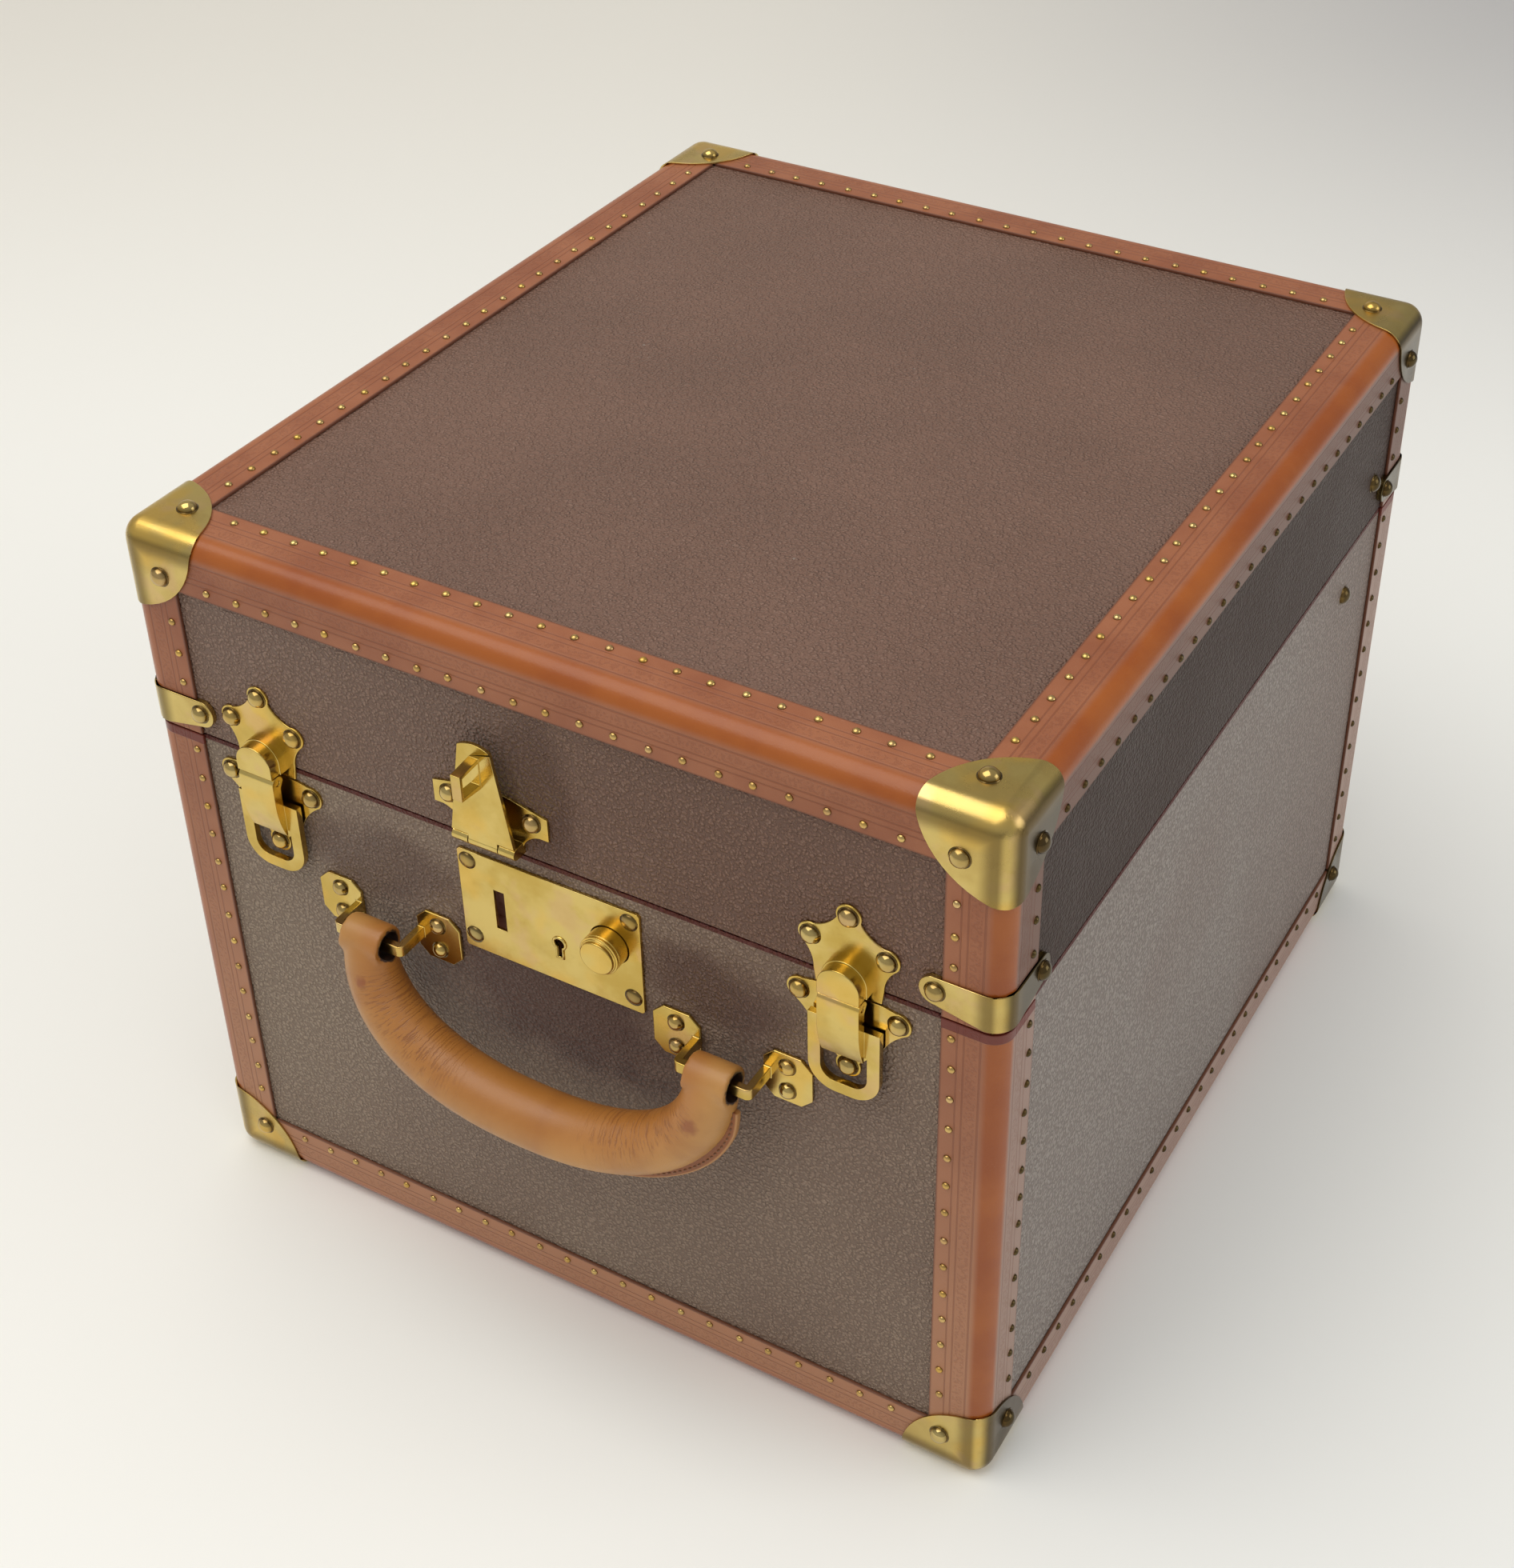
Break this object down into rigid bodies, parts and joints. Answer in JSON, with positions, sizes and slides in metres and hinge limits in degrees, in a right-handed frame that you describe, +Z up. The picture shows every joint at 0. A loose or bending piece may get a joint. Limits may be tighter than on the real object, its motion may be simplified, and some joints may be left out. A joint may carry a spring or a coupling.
{
  "type": "hat trunk",
  "caption": "Near-cubic leather-covered hat trunk with a hinged lid, bound edges, brass corner caps, draw latches, a hasp lock and a padded carrying handle.",
  "frame": {"origin": "on the floor, under the middle of the overall box with the lid shut", "axes": "+X to the right along the front, +Y from the front to the back, +Z up"},
  "size_m": [0.372, 0.4474, 0.328],
  "materials": {
    "leather": "fine grained, satin",
    "wood": "planed",
    "lining": "woven, matt",
    "binding": "lacquered",
    "brass": "polished, lightly worn",
    "steel": "plain sheet",
    "handle": "smooth, burnished"
  },
  "bodies": {
    "base": {"base_front_board": "wood", "base_boards": "wood", "base_covering": "leather", "base_lining": "lining", "mouth_lip": "lining", "bottom_strip_front": "binding", "bottom_strip_back": "binding", "bottom_strip_left": "binding", "bottom_strip_right": "binding", "base_post_front_left": "binding", "base_post_front_right": "binding", "base_post_back_left": "binding", "base_post_back_right": "binding", "base_corners": "brass", "lock_plate": "brass", "stay_studs_base": "brass", "latch_plate_left": "brass", "handle_brackets_left": "brass", "hinge_base_leaf_left": "brass", "latch_plate_right": "brass", "handle_brackets_right": "brass", "hinge_base_leaf_right": "brass", "lock_case": "steel"},
    "lid": {"lid_boards": "wood", "lid_covering": "leather", "lid_lining": "lining", "lid_strip_front": "binding", "lid_strip_back": "binding", "lid_strip_left": "binding", "lid_strip_right": "binding", "lid_posts": "binding", "lid_corners": "brass", "lid_straps": "brass", "hasp_plate": "brass", "stay_studs_lid": "brass", "latch_keeper_left": "brass", "hinge_lid_leaf_left": "brass", "latch_keeper_right": "brass", "hinge_lid_leaf_right": "brass"},
    "latch_left": {"latch_lever_left": "brass"},
    "stay_lower_left": {"stay_lower_left": "brass"},
    "stay_upper_left": {"stay_upper_left": "brass"},
    "latch_right": {"latch_lever_right": "brass"},
    "stay_lower_right": {"stay_lower_right": "brass"},
    "stay_upper_right": {"stay_upper_right": "brass"},
    "hasp": {"hasp_leaf": "brass"},
    "button": {"lock_button": "brass"},
    "bolt": {"lock_bolt": "steel"},
    "handle": {"handle_grip": "handle"}
  },
  "joints": [
    {"name": "lid_hinge", "type": "hinge", "parent": "base", "child": "lid", "pos_m": [0, 0.22055, 0.236], "axis": [-1, 0, 0], "range_deg": [0, 95]},
    {"name": "latch_left_turn", "type": "hinge", "parent": "base", "child": "latch_left", "pos_m": [-0.129, -0.19425, 0.2305], "axis": [-1, 0, 0], "range_deg": [0, 92]},
    {"name": "latch_right_turn", "type": "hinge", "parent": "base", "child": "latch_right", "pos_m": [0.1255, -0.19425, 0.2305], "axis": [-1, 0, 0], "range_deg": [0, 92]},
    {"name": "hasp_turn", "type": "hinge", "parent": "lid", "child": "hasp", "pos_m": [-0.0226, -0.19325, 0.2405], "axis": [1, 0, 0], "range_deg": [0, 180]},
    {"name": "lock_press", "type": "slide", "parent": "base", "child": "button", "axis": [0, 1, 0], "range_m": [0, 0.0035], "stiffness_N_per_m": 300},
    {"name": "bolt_draw", "type": "slide", "parent": "base", "child": "bolt", "axis": [1, 0, 0], "range_m": [0, 0.003]},
    {"name": "handle_swing", "type": "hinge", "parent": "base", "child": "handle", "pos_m": [0, -0.20275, 0.1778], "axis": [-1, 0, 0], "range_deg": [0, 150]},
    {"name": "stay_lower_left_turn", "type": "hinge", "parent": "base", "child": "stay_lower_left", "pos_m": [-0.1651, 0.15495, 0.212], "axis": [-1, 0, 0], "range_deg": [0, 81.5]},
    {"name": "stay_upper_left_turn", "type": "hinge", "parent": "lid", "child": "stay_upper_left", "pos_m": [-0.1629, 0.17835, 0.257], "axis": [1, 0, 0], "range_deg": [0, 122.4]},
    {"name": "stay_lower_right_turn", "type": "hinge", "parent": "base", "child": "stay_lower_right", "pos_m": [0.1651, 0.15495, 0.212], "axis": [-1, 0, 0], "range_deg": [0, 81.5]},
    {"name": "stay_upper_right_turn", "type": "hinge", "parent": "lid", "child": "stay_upper_right", "pos_m": [0.1629, 0.17835, 0.257], "axis": [1, 0, 0], "range_deg": [0, 122.4]}
  ],
  "couplings": [
    {"joint": "bolt_draw", "follows": "lock_press", "ratio": 0.857},
    {"joint": "stay_lower_left_turn", "follows": "lid_hinge", "ratio": 0.85737},
    {"joint": "stay_upper_left_turn", "follows": "lid_hinge", "ratio": 1.2873},
    {"joint": "stay_lower_right_turn", "follows": "lid_hinge", "ratio": 0.85737},
    {"joint": "stay_upper_right_turn", "follows": "lid_hinge", "ratio": 1.2873}
  ]
}
